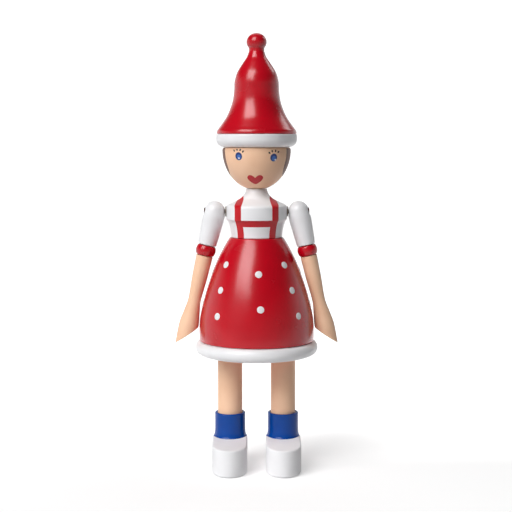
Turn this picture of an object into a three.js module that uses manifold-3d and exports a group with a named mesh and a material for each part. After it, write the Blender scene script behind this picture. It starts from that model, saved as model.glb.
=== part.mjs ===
// Turned wooden Christmas figure: a head that turns on the neck and two arms that turn at the shoulders.
// Millimetres, +Z up, origin on the floor on the body axis. The figure faces -Y.
// Left and right are the figure's own, so its left side is +X.
import * as THREE from 'three';
import { mergeVertices } from 'three/addons/utils/BufferGeometryUtils.js';
import Module from 'manifold-3d';

const wasm = await Module();
wasm.setup();

// Room between pieces
const SEAM = 0.1; // glue line between turned pieces stacked on each other
const ARM_SEAM = 0.25; // glue line between the pieces of a slanted arm
const TURN_GAP = 0.25; // between faces that turn on each other
const FIT = 0.15; // radial room of a dowel in its bore
const BORE_END = 0.5; // air at the blind end of a bore

// Height of each turned piece, from the floor up
const SHOE_HEIGHT = 14.5; // at the leg, where the sock is let into it
const TOE_HEIGHT = 12.6;
const SOCK_SINK = 1.8; // from the height of the shoe down to the foot of the sock
const SOCK_HEIGHT = 12.5;
const HEM_CLEARANCE = 52.75; // from the floor to the underside of the hem ring
const HEM_HEIGHT = 6.45;
const SKIRT_HEIGHT = 47.7;
const TORSO_HEIGHT = 22.3;
const HEAD_HEIGHT = 18.6;
const BRIM_HEIGHT = 5.95;
const HAT_HEIGHT = 45.6;
const BOBBLE_HEIGHT = 8.2; // from the neck of the hat to its top

// Radii of the turned pieces
const LEG_RADIUS = 5.75;
const SOCK_RADIUS = 7.1;
const SOCK_FOOT_RADIUS = 8.05;
const SOCK_FLARE_HEIGHT = 4.4;
const HEM_RADIUS = 28.4;
const HEM_WIDTH = 6.4; // from the bore of the hem ring to its outer edge
const SKIRT_RADIUS = 26.6;
const SKIRT_TOP_RADIUS = 12.4;
const WAIST_RADIUS = 11.85;
const CHEST_RADIUS = 14.05;
const NECK_RADIUS = 4.85;
const HEAD_RADIUS = 15.65;
const BRIM_RADIUS = 18.55;
const HAT_RADIUS = 18.4;
const HAT_NECK_RADIUS = 3.5;
const BOBBLE_RADIUS = 4.6;
const BOBBLE_RISE = 4.1; // from the widest part of the bobble to its top

// Torso band that carries the shoulders, measured from the waist
const BAND_LOWER = 8.3;
const BAND_UPPER = 13.9;
const PIVOT_RISE = 0.7; // the shoulders turn this far above the middle of the band

// Feet
const LEG_SPACING = 24.7;
const SHOE_HALF_WIDTH = 8.05;
const TOE_REACH = 25; // from the leg axis to the tip of the toe
const TOE_DEPTH = 10; // length of the rounded toe
const SHOE_EDGE = 1; // rounding of the block's edges
const SHOE_SOCKET_DEPTH = 8; // below the foot of the sock
const SKIRT_SOCKET_DEPTH = 14;
const HEM_LIP = 0.4; // the underside of the skirt lies this far up inside the hem ring

// Arms: lengths run along the arm, down from the shoulder pivot
const ARM_TILT = 13; // degrees outward
const SLEEVE_END = 15.8;
const SLEEVE_TOP_RADIUS = 4.8;
const SLEEVE_FULL_AT = 4;
const SLEEVE_FULL_RADIUS = 5.1;
const SLEEVE_END_RADIUS = 4.3;
const CUFF_LENGTH = 4.7;
const CUFF_RADIUS = 4.65;
const CUFF_END_RADIUS = 4.1;
const FOREARM_RADIUS = 3.85;
const FOREARM_FULLNESS = 0.65; // share of the taper from elbow to wrist still left halfway
const WRIST_AT = 42;
const WRIST_RADIUS = 3;
const PALM_AT = 54.5;
const PALM_RADIUS = 4.6;
const FINGER_RADIUS = 4.2; // at the tip, before the slanted cut
const HAND_TIP = 63.9; // length to the outer tip of the hand
const HAND_HEEL = 54.3; // length to the inner corner of the slanted cut
const TENON_RADIUS = 2;
const TENON_DEPTH = 6.5;

// Shoulder fastening
const SCREW_RADIUS = 1;
const SCREW_HEAD_RADIUS = 1.9;
const SCREW_HEAD_HEIGHT = 1.6;
const SCREW_TIP_X = 5.5;
const SCREW_SLOT_WIDTH = 0.6;
const SCREW_SLOT_DEPTH = 0.7;
const RECESS_RADIUS = 2.2;
const RECESS_FLOOR_OUT = 3.2; // from the pivot out to the floor of the recess
const TORSO_FACE_DEPTH = 0.3; // flat cut into the torso for the washer
const TORSO_FACE_RADIUS = 2.6;
const WASHER_RADIUS = 2.4;
const WASHER_THICKNESS = 0.7;
const SLEEVE_FACE_RADIUS = 3.2;
const SLEEVE_FACE_DEPTH = 0.2;

// Dowels
const HAT_DOWEL_RADIUS = 4;
const HAT_DOWEL_IN_HEAD = 8;
const HAT_DOWEL_IN_HAT = 11;
const NECK_DOWEL_RADIUS = 2.5;
const NECK_DOWEL_IN_TORSO = 6.5;
const NECK_DOWEL_IN_HEAD = 8;
const WAIST_DOWEL_RADIUS = 3;
const WAIST_DOWEL_IN_SKIRT = 12;
const WAIST_DOWEL_IN_TORSO = 6.5;

// Edges rounded on the lathe
const BRIM_LOWER_EDGE = 3.6;
const BRIM_UPPER_EDGE = 0.5;
const HEAD_EDGE = 1;
const SOCK_EDGE = 0.6;

// Turned outlines from bottom to top. Each point has its share of the way from the smaller to the larger
// radius, and its share of the height.
const HAT_OUTLINE = [
  [1, 0], [0.975, 0.043], [0.88, 0.094], [0.695, 0.203], [0.57, 0.313], [0.49, 0.42], [0.456, 0.529],
  [0.44, 0.639], [0.36, 0.746], [0.19, 0.856], [0.068, 0.928], [0, 1],
];
const FLARE_OUTLINE = [[1, 0], [0.88, 0.2], [0.4, 0.5], [0, 1]];
const TAPER_OUTLINE = [[0, 0], [0.045, 0.24], [0.3, 0.6], [0.61, 0.855], [1, 1]];
const SHOULDER_OUTLINE = [[1, 0], [0.886, 0.143], [0.3, 0.452], [0.055, 0.762], [0, 1]];
const SKIRT_OUTLINE = [
  [0.993, 0], [1, 0.094], [0.96, 0.241], [0.83, 0.411],
  [0.657, 0.579], [0.433, 0.759], [0.188, 0.906], [0, 1],
];

// Faces round each turned piece
const BODY_SIDES = 36;
const LIMB_SIDES = 20;
const SCREW_SIDES = 16;

// Heights that follow
const SOCK_BOTTOM = SHOE_HEIGHT - SOCK_SINK;
const HEM_TOP = HEM_CLEARANCE + HEM_HEIGHT;
const HEM_BORE_RADIUS = HEM_RADIUS - HEM_WIDTH;
const SKIRT_BOTTOM = HEM_TOP + SEAM;
const SKIRT_UNDERSIDE = HEM_CLEARANCE + HEM_LIP;
const SKIRT_TOP = SKIRT_BOTTOM + SKIRT_HEIGHT;
const TORSO_BOTTOM = SKIRT_TOP + SEAM;
const TORSO_TOP = TORSO_BOTTOM + TORSO_HEIGHT;
const HEAD_BOTTOM = TORSO_TOP + TURN_GAP;
const HEAD_TOP = HEAD_BOTTOM + HEAD_HEIGHT;
const BRIM_BOTTOM = HEAD_TOP + SEAM;
const BRIM_TOP = BRIM_BOTTOM + BRIM_HEIGHT;
const HAT_BOTTOM = BRIM_TOP + SEAM;
const PIVOT_Z = TORSO_BOTTOM + (BAND_LOWER + BAND_UPPER) / 2 + PIVOT_RISE;
const LEG_X = LEG_SPACING / 2;
const TORSO_FACE_X = CHEST_RADIUS - TORSO_FACE_DEPTH;
const WASHER_OUTER_X = TORSO_FACE_X + WASHER_THICKNESS;
const SLEEVE_FACE_X = WASHER_OUTER_X + TURN_GAP;
const PIVOT_X = SLEEVE_FACE_X + SLEEVE_TOP_RADIUS - SLEEVE_FACE_DEPTH;
const RECESS_FLOOR_X = PIVOT_X + RECESS_FLOOR_OUT;
const SCREW_SEAT_X = RECESS_FLOOR_X + TURN_GAP;
const SCREW_TOP_X = SCREW_SEAT_X + SCREW_HEAD_HEIGHT;

const RED = 0xc0141a;
const WHITE = 0xf4f3ef;
const SKIN = 0xe8b78d;
const BLUE = 0x1d49a0;
const WOOD = 0xd8b98c;
const STEEL = 0x402b24;
const FELT = 0x8a7f74;

// Smooth outline through points, each a radius and a height
function smooth(points, pieces) {
  const curve = new THREE.SplineCurve(points.map(([radius, height]) => new THREE.Vector2(radius, height)));
  return curve.getPoints(pieces).map((point) => [point.x, point.y]);
}

// Smooth outline from shares, between two radii and two heights
function outlined(shares, smaller, larger, bottom, top, pieces) {
  const points = shares.map(([across, up]) => [
    smaller + across * (larger - smaller), bottom + up * (top - bottom),
  ]);
  return smooth(points, pieces);
}

// Arc of an ellipse in an outline, angles in degrees from the outward direction
function arc(radius, height, across, up, from, to, pieces) {
  const points = [];
  for (let i = 0; i <= pieces; i += 1) {
    const angle = THREE.MathUtils.degToRad(from + ((to - from) * i) / pieces);
    points.push([radius + across * Math.cos(angle), height + up * Math.sin(angle)]);
  }
  return points;
}

// Solid turned about the Z axis. The outline runs from the lower end up the outside.
function turned(outline, sides) {
  const points = outline.map(([radius, height]) => new THREE.Vector2(Math.max(radius, 0), height));
  return new THREE.LatheGeometry(points, sides).rotateX(Math.PI / 2);
}

function dowel(radius, bottom, top, sides) {
  return turned([[0, bottom], [radius, bottom], [radius, top], [0, top]], sides);
}

// Ring whose outer outline is given from its lower to its upper inner edge
function ring(bore, outline, sides) {
  const bottom = outline[0][1];
  const top = outline[outline.length - 1][1];
  return turned([[bore, bottom], ...outline, [bore, top], [bore, bottom]], sides);
}

// Round bar along X from one place to another
function crossBar(radius, from, to, height, sides) {
  const half = Math.abs(to - from) / 2;
  const bar = dowel(radius, -half, half, sides).rotateY(Math.PI / 2);
  return bar.translate((from + to) / 2, 0, height);
}

function toSolid(geometry) {
  const bare = geometry.clone();
  bare.deleteAttribute('normal');
  bare.deleteAttribute('uv');
  const merged = mergeVertices(bare, 1e-4);
  const corners = [];
  for (let i = 0; i < merged.index.count; i += 3) {
    const [a, b, c] = [merged.index.getX(i), merged.index.getX(i + 1), merged.index.getX(i + 2)];
    if (a !== b && b !== c && c !== a) corners.push(a, b, c);
  }
  const mesh = new wasm.Mesh({
    numProp: 3,
    vertProperties: new Float32Array(merged.attributes.position.array),
    triVerts: new Uint32Array(corners),
  });
  return new wasm.Manifold(mesh);
}

function toGeometry(solid) {
  const mesh = solid.getMesh();
  const geometry = new THREE.BufferGeometry();
  geometry.setAttribute('position', new THREE.BufferAttribute(mesh.vertProperties, 3));
  geometry.setIndex(new THREE.BufferAttribute(mesh.triVerts, 1));
  geometry.computeVertexNormals();
  return geometry;
}

// The piece with every cutter taken out of it
function carve(piece, cutters) {
  return toGeometry(cutters.reduce((solid, cutter) => solid.subtract(toSolid(cutter)), toSolid(piece)));
}

const figure = new THREE.Group();
figure.name = 'christmas_figure';

function add(name, geometry, color, roughness = 0.35, metalness = 0) {
  const mesh = new THREE.Mesh(geometry, new THREE.MeshStandardMaterial({ color, roughness, metalness }));
  mesh.name = name;
  figure.add(mesh);
}

function hat() {
  const neck = HAT_HEIGHT - BOBBLE_HEIGHT;
  const bell = outlined(HAT_OUTLINE, HAT_NECK_RADIUS, HAT_RADIUS, 0, neck, 15);
  const start = -THREE.MathUtils.radToDeg(Math.acos(HAT_NECK_RADIUS / BOBBLE_RADIUS));
  const bobble = arc(0, HAT_HEIGHT - BOBBLE_RISE, BOBBLE_RADIUS, BOBBLE_RISE, start, 90, 7);
  const bore = HAT_DOWEL_RADIUS + FIT;
  const boreTop = HAT_DOWEL_IN_HAT + BORE_END;
  const outline = [[0, boreTop], [bore, boreTop], [bore, 0], ...bell, ...bobble];
  add('hat', turned(outline, BODY_SIDES).translate(0, 0, HAT_BOTTOM), RED);
}

function hatBrim() {
  const [lower, upper] = [BRIM_LOWER_EDGE, BRIM_UPPER_EDGE];
  const outline = [
    ...arc(BRIM_RADIUS - lower, lower, lower, lower, -90, 0, 4),
    ...arc(BRIM_RADIUS - upper, BRIM_HEIGHT - upper, upper, upper, 0, 90, 2),
  ];
  const geometry = ring(HAT_DOWEL_RADIUS + FIT, outline, BODY_SIDES);
  add('hat_brim', geometry.translate(0, 0, BRIM_BOTTOM), WHITE);
}

function head() {
  const widest = HEAD_HEIGHT - HEAD_EDGE;
  const bowlDepth = widest / Math.sqrt(1 - (NECK_RADIUS / HEAD_RADIUS) ** 2);
  const lowest = -THREE.MathUtils.radToDeg(Math.acos(NECK_RADIUS / HEAD_RADIUS));
  const neckBore = NECK_DOWEL_RADIUS + FIT;
  const neckBoreTop = NECK_DOWEL_IN_HEAD + BORE_END;
  const hatBore = HAT_DOWEL_RADIUS + FIT;
  const hatBoreFloor = HEAD_HEIGHT - HAT_DOWEL_IN_HEAD - BORE_END;
  const outline = [
    [0, neckBoreTop], [neckBore, neckBoreTop], [neckBore, 0],
    ...arc(0, widest, HEAD_RADIUS, bowlDepth, lowest, 0, 8),
    ...arc(HEAD_RADIUS - HEAD_EDGE, widest, HEAD_EDGE, HEAD_EDGE, 0, 90, 3).slice(1),
    [hatBore, HEAD_HEIGHT], [hatBore, hatBoreFloor], [0, hatBoreFloor],
  ];
  add('head', turned(outline, BODY_SIDES).translate(0, 0, HEAD_BOTTOM), SKIN);
}

function torso() {
  const waistBore = WAIST_DOWEL_RADIUS + FIT;
  const waistBoreTop = WAIST_DOWEL_IN_TORSO + BORE_END;
  const neckBore = NECK_DOWEL_RADIUS + FIT;
  const neckBoreFloor = TORSO_HEIGHT - NECK_DOWEL_IN_TORSO - BORE_END;
  const taper = outlined(TAPER_OUTLINE, WAIST_RADIUS, CHEST_RADIUS, 0, BAND_LOWER, 4);
  const shoulder = outlined(SHOULDER_OUTLINE, NECK_RADIUS, CHEST_RADIUS, BAND_UPPER, TORSO_HEIGHT, 7);
  const outline = [
    [0, waistBoreTop], [waistBore, waistBoreTop], [waistBore, 0],
    ...taper, ...shoulder,
    [neckBore, TORSO_HEIGHT], [neckBore, neckBoreFloor], [0, neckBoreFloor],
  ];
  const body = turned(outline, BODY_SIDES).translate(0, 0, TORSO_BOTTOM);
  const cutters = [1, -1].flatMap((side) => [
    crossBar(TORSO_FACE_RADIUS, side * TORSO_FACE_X, side * PIVOT_X, PIVOT_Z, SCREW_SIDES),
    crossBar(SCREW_RADIUS + FIT, side * (SCREW_TIP_X - BORE_END), side * CHEST_RADIUS, PIVOT_Z, SCREW_SIDES),
  ]);
  add('torso', carve(body, cutters), WHITE);
}

function skirt() {
  const bore = WAIST_DOWEL_RADIUS + FIT;
  const boreFloor = SKIRT_TOP - WAIST_DOWEL_IN_SKIRT - BORE_END;
  const spigot = HEM_BORE_RADIUS - FIT;
  const bell = outlined(SKIRT_OUTLINE, SKIRT_TOP_RADIUS, SKIRT_RADIUS, SKIRT_BOTTOM, SKIRT_TOP, 10);
  const outline = [
    [0, SKIRT_UNDERSIDE], [spigot, SKIRT_UNDERSIDE], [spigot, SKIRT_BOTTOM],
    ...bell, [bore, SKIRT_TOP], [bore, boreFloor], [0, boreFloor],
  ];
  const socketTop = SKIRT_UNDERSIDE + SKIRT_SOCKET_DEPTH + BORE_END;
  const sockets = [1, -1].map((side) => (
    dowel(LEG_RADIUS + FIT, HEM_CLEARANCE, socketTop, LIMB_SIDES).translate(side * LEG_X, 0, 0)
  ));
  add('skirt', carve(turned(outline, BODY_SIDES), sockets), RED);
}

function hemRing() {
  const edge = HEM_HEIGHT / 2;
  const outline = arc(HEM_RADIUS - edge, HEM_CLEARANCE + edge, edge, edge, -90, 90, 6);
  add('hem_ring', ring(HEM_BORE_RADIUS, outline, BODY_SIDES), WHITE);
}

function shoeOutline() {
  const straight = TOE_REACH - TOE_DEPTH;
  const outline = new THREE.Shape();
  outline.moveTo(SHOE_HALF_WIDTH, 0);
  outline.absarc(0, 0, SHOE_HALF_WIDTH, 0, Math.PI, false);
  outline.lineTo(-SHOE_HALF_WIDTH, -straight);
  outline.absellipse(0, -straight, SHOE_HALF_WIDTH, TOE_DEPTH, Math.PI, 2 * Math.PI, false);
  outline.closePath();
  return outline;
}

// Block whose top falls from the leg towards the toe
function shoeBlock() {
  const block = new THREE.ExtrudeGeometry(shoeOutline(), {
    depth: SHOE_HEIGHT - 2 * SHOE_EDGE,
    bevelThickness: SHOE_EDGE,
    bevelSize: SHOE_EDGE,
    bevelOffset: -SHOE_EDGE,
    bevelSegments: 2,
    curveSegments: 12,
  }).translate(0, 0, SHOE_EDGE);
  const fall = (1 - TOE_HEIGHT / SHOE_HEIGHT) / TOE_REACH;
  const spots = block.attributes.position;
  for (let i = 0; i < spots.count; i += 1) {
    spots.setZ(i, spots.getZ(i) * (1 + fall * spots.getY(i)));
  }
  return block;
}

function foot(side, name) {
  const x = side * LEG_X;
  const sockOutline = [
    ...outlined(FLARE_OUTLINE, SOCK_RADIUS, SOCK_FOOT_RADIUS, 0, SOCK_FLARE_HEIGHT, 4),
    ...arc(SOCK_RADIUS - SOCK_EDGE, SOCK_HEIGHT - SOCK_EDGE, SOCK_EDGE, SOCK_EDGE, 0, 90, 2),
  ];
  const sock = ring(LEG_RADIUS + FIT, sockOutline, LIMB_SIDES);
  add(`sock_${name}`, sock.translate(x, 0, SOCK_BOTTOM), BLUE);

  const legBottom = SOCK_BOTTOM - SHOE_SOCKET_DEPTH;
  const sockets = [
    dowel(SOCK_FOOT_RADIUS + FIT, SOCK_BOTTOM - SEAM, 2 * SHOE_HEIGHT, LIMB_SIDES),
    dowel(LEG_RADIUS + FIT, legBottom - BORE_END, SOCK_BOTTOM, LIMB_SIDES),
  ];
  add(`shoe_${name}`, carve(shoeBlock(), sockets).translate(x, 0, 0), WHITE);

  const legTop = SKIRT_UNDERSIDE + SKIRT_SOCKET_DEPTH;
  const leg = dowel(LEG_RADIUS, legBottom, legTop, LIMB_SIDES);
  add(`leg_${name}`, leg.translate(x, 0, 0), SKIN);
}

function arm(side, name) {
  // Arm pieces are turned pointing down from the pivot, then slanted and moved out to the shoulder
  const place = (geometry) => (
    geometry.rotateY(-side * THREE.MathUtils.degToRad(ARM_TILT)).translate(side * PIVOT_X, 0, PIVOT_Z)
  );
  const bore = TENON_RADIUS + FIT;
  const cuffTop = SLEEVE_END + ARM_SEAM;
  const cuffEnd = cuffTop + CUFF_LENGTH;
  const forearmTop = cuffEnd + ARM_SEAM;
  const tenonTop = SLEEVE_END - TENON_DEPTH;
  const sleeveOuterX = PIVOT_X + 2 * SLEEVE_FULL_RADIUS;

  const sleeveOutline = [
    [0, -tenonTop + BORE_END], [bore, -tenonTop + BORE_END], [bore, -SLEEVE_END],
    ...smooth([
      [SLEEVE_END_RADIUS, -SLEEVE_END], [SLEEVE_FULL_RADIUS, -SLEEVE_FULL_AT], [SLEEVE_TOP_RADIUS, 0],
    ], 6),
    ...arc(0, 0, SLEEVE_TOP_RADIUS, SLEEVE_TOP_RADIUS, 0, 90, 5).slice(1),
  ];
  const sleeveCutters = [
    crossBar(SCREW_RADIUS + FIT, side * TORSO_FACE_X, side * SCREW_TOP_X, PIVOT_Z, SCREW_SIDES),
    crossBar(RECESS_RADIUS, side * RECESS_FLOOR_X, side * sleeveOuterX, PIVOT_Z, SCREW_SIDES),
    crossBar(SLEEVE_FACE_RADIUS, side * TORSO_FACE_X, side * SLEEVE_FACE_X, PIVOT_Z, SCREW_SIDES),
  ];
  add(`sleeve_${name}`, carve(place(turned(sleeveOutline, LIMB_SIDES)), sleeveCutters), WHITE);

  const cuffMiddle = (cuffTop + cuffEnd) / 2;
  const bead = smooth([
    [CUFF_END_RADIUS, -cuffEnd], [CUFF_RADIUS, -cuffMiddle], [CUFF_END_RADIUS, -cuffTop],
  ], 6);
  add(`cuff_${name}`, place(ring(bore, bead, LIMB_SIDES)), RED);

  const handEnd = HAND_TIP + PALM_RADIUS / 2; // cut back to the slant below
  const forearmOutline = [
    [0, -handEnd],
    ...smooth([
      [FINGER_RADIUS, -handEnd], [PALM_RADIUS, -PALM_AT],
      [(WRIST_RADIUS + PALM_RADIUS) / 2, -(WRIST_AT + PALM_AT) / 2], [WRIST_RADIUS, -WRIST_AT],
      [WRIST_RADIUS + FOREARM_FULLNESS * (FOREARM_RADIUS - WRIST_RADIUS), -(WRIST_AT + forearmTop) / 2],
      [FOREARM_RADIUS, -forearmTop],
    ], 12),
    [TENON_RADIUS, -forearmTop], [TENON_RADIUS, -tenonTop], [0, -tenonTop],
  ];
  const slope = Math.atan2(HAND_TIP - HAND_HEEL, 2 * PALM_RADIUS);
  const blockSize = HAND_TIP;
  const beyond = new THREE.BoxGeometry(blockSize, blockSize, blockSize)
    .translate(0, 0, -blockSize / 2)
    .rotateY(side * slope)
    .translate(0, 0, -(HAND_TIP + HAND_HEEL) / 2);
  add(`forearm_${name}`, place(carve(turned(forearmOutline, LIMB_SIDES), [beyond])), SKIN);

  const disc = crossBar(WASHER_RADIUS, side * TORSO_FACE_X, side * WASHER_OUTER_X, PIVOT_Z, SCREW_SIDES);
  const washerHole = crossBar(SCREW_RADIUS + FIT, side * SCREW_TIP_X, side * PIVOT_X, PIVOT_Z, SCREW_SIDES);
  add(`shoulder_washer_${name}`, carve(disc, [washerHole]), FELT, 0.9);

  const shankEndX = (SCREW_SEAT_X + SCREW_TOP_X) / 2;
  const shank = crossBar(SCREW_RADIUS, side * SCREW_TIP_X, side * shankEndX, PIVOT_Z, SCREW_SIDES);
  const panHead = crossBar(SCREW_HEAD_RADIUS, side * SCREW_SEAT_X, side * SCREW_TOP_X, PIVOT_Z, SCREW_SIDES);
  const slot = new THREE.BoxGeometry(2 * SCREW_SLOT_DEPTH, 3 * SCREW_HEAD_RADIUS, SCREW_SLOT_WIDTH)
    .translate(side * SCREW_TOP_X, 0, PIVOT_Z);
  const screw = toSolid(shank).add(toSolid(panHead)).subtract(toSolid(slot));
  add(`shoulder_screw_${name}`, toGeometry(screw), STEEL, 0.4, 1);
}

function joiningDowels() {
  const hatDowel = dowel(
    HAT_DOWEL_RADIUS, HEAD_TOP - HAT_DOWEL_IN_HEAD, HAT_BOTTOM + HAT_DOWEL_IN_HAT, LIMB_SIDES,
  );
  const neckDowel = dowel(
    NECK_DOWEL_RADIUS, TORSO_TOP - NECK_DOWEL_IN_TORSO, HEAD_BOTTOM + NECK_DOWEL_IN_HEAD, LIMB_SIDES,
  );
  const waistDowel = dowel(
    WAIST_DOWEL_RADIUS, SKIRT_TOP - WAIST_DOWEL_IN_SKIRT, TORSO_BOTTOM + WAIST_DOWEL_IN_TORSO, LIMB_SIDES,
  );
  add('hat_dowel', hatDowel, WOOD, 0.7);
  add('neck_dowel', neckDowel, WOOD, 0.7);
  add('waist_dowel', waistDowel, WOOD, 0.7);
}

hat();
hatBrim();
head();
torso();
skirt();
hemRing();
foot(1, 'left');
foot(-1, 'right');
arm(1, 'left');
arm(-1, 'right');
joiningDowels();

export default figure;
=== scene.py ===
# Turned wooden Christmas figure: the painted pieces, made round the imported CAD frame.
# Sizes are millimetres until a mesh is made. The figure faces -Y, so its left side is +X.
# An azimuth is in degrees from the front, towards the figure's left.
import bisect
import math

import bpy
from mathutils import Matrix, Vector


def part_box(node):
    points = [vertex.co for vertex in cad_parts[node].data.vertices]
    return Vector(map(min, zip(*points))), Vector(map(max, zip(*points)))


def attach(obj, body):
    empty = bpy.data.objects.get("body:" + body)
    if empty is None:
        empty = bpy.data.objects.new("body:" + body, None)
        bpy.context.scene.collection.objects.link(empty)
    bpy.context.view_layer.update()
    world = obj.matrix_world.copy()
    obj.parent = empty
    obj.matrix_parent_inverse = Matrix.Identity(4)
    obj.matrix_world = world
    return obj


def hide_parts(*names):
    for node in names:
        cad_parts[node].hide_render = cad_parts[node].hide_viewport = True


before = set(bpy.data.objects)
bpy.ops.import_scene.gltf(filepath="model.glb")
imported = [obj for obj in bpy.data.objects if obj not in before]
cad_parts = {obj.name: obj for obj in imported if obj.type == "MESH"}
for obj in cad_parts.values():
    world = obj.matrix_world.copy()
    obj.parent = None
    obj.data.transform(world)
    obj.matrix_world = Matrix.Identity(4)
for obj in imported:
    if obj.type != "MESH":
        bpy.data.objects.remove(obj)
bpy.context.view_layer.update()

MM = 0.001
X, Y, Z = range(3)
SIDES = {"left": 1, "right": -1}


def low(node, axis):
    """Lowest place of a CAD piece along an axis."""
    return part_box(node)[0][axis] / MM


def high(node, axis):
    """Highest place of a CAD piece along an axis."""
    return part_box(node)[1][axis] / MM


# Heights and radii that the CAD pieces hold
HAT_BOTTOM, HAT_TOP, HAT_RADIUS = low("hat", Z), high("hat", Z), high("hat", X)
BRIM_BOTTOM, BRIM_TOP, BRIM_RADIUS = low("hat_brim", Z), high("hat_brim", Z), high("hat_brim", X)
HEAD_BOTTOM, HEAD_TOP, HEAD_RADIUS = low("head", Z), high("head", Z), high("head", X)
TORSO_BOTTOM, TORSO_TOP, CHEST_RADIUS = low("torso", Z), high("torso", Z), high("torso", Y)
SKIRT_UNDERSIDE, SKIRT_TOP, SKIRT_RADIUS = low("skirt", Z), high("skirt", Z), high("skirt", X)
HEM_BOTTOM, HEM_TOP, HEM_RADIUS = low("hem_ring", Z), high("hem_ring", Z), high("hem_ring", X)
SHOE_WIDTH = high("shoe_left", X) - low("shoe_left", X)
LEG_X = (high("leg_left", X) + low("leg_left", X)) / 2
LEG_RADIUS = (high("leg_left", X) - low("leg_left", X)) / 2
SOCK_BOTTOM, SOCK_TOP = low("sock_left", Z), high("sock_left", Z)
SOCK_FOOT_RADIUS = (high("sock_left", X) - low("sock_left", X)) / 2
SCREW_Z = (high("shoulder_screw_left", Z) + low("shoulder_screw_left", Z)) / 2
SCREW_TIP_X, SCREW_TOP_X = low("shoulder_screw_left", X), high("shoulder_screw_left", X)
SCREW_HEAD_RADIUS = high("shoulder_screw_left", Y)
WASHER_INNER_X, WASHER_OUTER_X = low("shoulder_washer_left", X), high("shoulder_washer_left", X)
WASHER_RADIUS = high("shoulder_washer_left", Y)

# Sizes that a box can't give
HAT_NECK_RADIUS = 3.5
BOBBLE_RADIUS = 4.6
BOBBLE_HEIGHT = 8.2
BOBBLE_RISE = 4.1
HAT_BORE, HAT_BORE_DEPTH = 4.15, 11.5
HEAD_BORE_DEPTH = 8.5
HEAD_EDGE = 1
NECK_RADIUS = 4.85
NECK_BORE = 2.65
NECK_BORE_IN_HEAD, NECK_BORE_IN_TORSO = 8.5, 7
BRIM_LOWER_EDGE = 3.6
WAIST_RADIUS = 11.85
WAIST_BORE = 3.15
WAIST_BORE_IN_TORSO, WAIST_BORE_IN_SKIRT = 7, 12.5
BAND_LOWER, BAND_UPPER = TORSO_BOTTOM + 8.3, TORSO_BOTTOM + 13.9
SKIRT_TOP_RADIUS = 12.4
HEM_BORE = 22
HEM_SEAM = 0.1
SKIRT_BOTTOM = HEM_TOP + HEM_SEAM
SOCK_RADIUS = 7.1
SOCK_FLARE_HEIGHT = 4.4
SHOE_HEIGHT, TOE_HEIGHT = 14.5, 12.6  # at the leg and at the tip of the toe
TOE_STRAIGHT, TOE_DEPTH = 15, 10
FIT = 0.15  # room round what sits in a bore
BORE_ROOM = 0.5  # room beyond its end
SOCKET_IN_SHOE, SOCKET_IN_SKIRT = 8.5, 14.5
SCREW_RADIUS = 1
SCREW_HEAD_HEIGHT, SCREW_CROWN = 1.6, 0.448
SCREW_POINT_RADIUS, SCREW_POINT_LENGTH = 0.3, 3
SLOT_WIDTH, SLOT_DEPTH = 0.6, 0.7
RECESS_RADIUS, RECESS_FLOOR = 2.2, 3.2  # the floor is this far out from the pivot
TORSO_FACE_RADIUS = 2.6
SLEEVE_FACE_RADIUS = 3.2
TURN_GAP = 0.25

# Arms: lengths run down the arm from the shoulder pivot
ARM_TILT = math.radians(13)
SLEEVE_END = 15.8
SLEEVE_TOP_RADIUS, SLEEVE_FULL_RADIUS, SLEEVE_END_RADIUS = 4.8, 5.1, 4.3
SLEEVE_FULL_AT = 4
CUFF_TOP, CUFF_END = 16.05, 20.75
CUFF_RADIUS, CUFF_END_RADIUS = 4.65, 4.1
FOREARM_TOP, FOREARM_RADIUS = 21, 3.85
FOREARM_FULLNESS = 0.65
WRIST_AT, WRIST_RADIUS = 42, 3
PALM_AT, PALM_RADIUS = 54.5, 4.6
HAND_TIP, HAND_HEEL = 63.9, 54.3
FINGER_RADIUS = 4.2
TENON_RADIUS, TENON_TOP = 2, 9.3
SLEEVE_FACE_DEPTH = 0.2
SLEEVE_FACE_X = WASHER_OUTER_X + TURN_GAP
PIVOT_X, PIVOT_Z = SLEEVE_FACE_X + SLEEVE_TOP_RADIUS - SLEEVE_FACE_DEPTH, SCREW_Z
RECESS_FLOOR_X = PIVOT_X + RECESS_FLOOR

# Turned outlines from bottom to top. Each point has its share of the way from the smaller to the
# larger radius, and its share of the height.
HAT_OUTLINE = (
    (1, 0), (0.975, 0.043), (0.88, 0.094), (0.695, 0.203), (0.57, 0.313), (0.49, 0.42), (0.456, 0.529),
    (0.44, 0.639), (0.36, 0.746), (0.19, 0.856), (0.068, 0.928), (0, 1),
)
FLARE_OUTLINE = ((1, 0), (0.97, 0.15), (0.8, 0.27), (0.36, 0.43), (0.12, 0.68), (0, 1))
TAPER_OUTLINE = ((0, 0), (0.045, 0.24), (0.3, 0.6), (0.61, 0.855), (1, 1))
SHOULDER_OUTLINE = ((1, 0), (0.886, 0.143), (0.3, 0.452), (0.055, 0.762), (0, 1))
SKIRT_OUTLINE = (
    (0.993, 0), (1, 0.094), (0.96, 0.241), (0.83, 0.411),
    (0.657, 0.579), (0.433, 0.759), (0.188, 0.906), (0, 1),
)

# How far from its corners each piece starts to be rounded
EASE = {
    "hat": 0.45, "brim": 0.7, "head": 0.3, "torso": 0.4, "skirt": 0.4, "sock": 0.5, "leg": 0.6,
    "sleeve": 0.5, "cuff": 0.7, "tenon": 0.3, "screw": 0.15, "washer": 0.2,
}
CORNER_TURN = 20  # degrees; an outline that turns less is a curve, not a corner
EASE_SHARE = 0.4  # a rounding takes no more than this share of the way to the next corner
EASE_LEAD = 1.25  # the straight ends this many times the rounding's reach from the corner
HARD_EDGE = math.radians(38)  # edges that turn more than this stay hard

# Faces round each piece
BODY_FACES = 144
LIMB_FACES = 80
SCREW_FACES = 40


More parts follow.
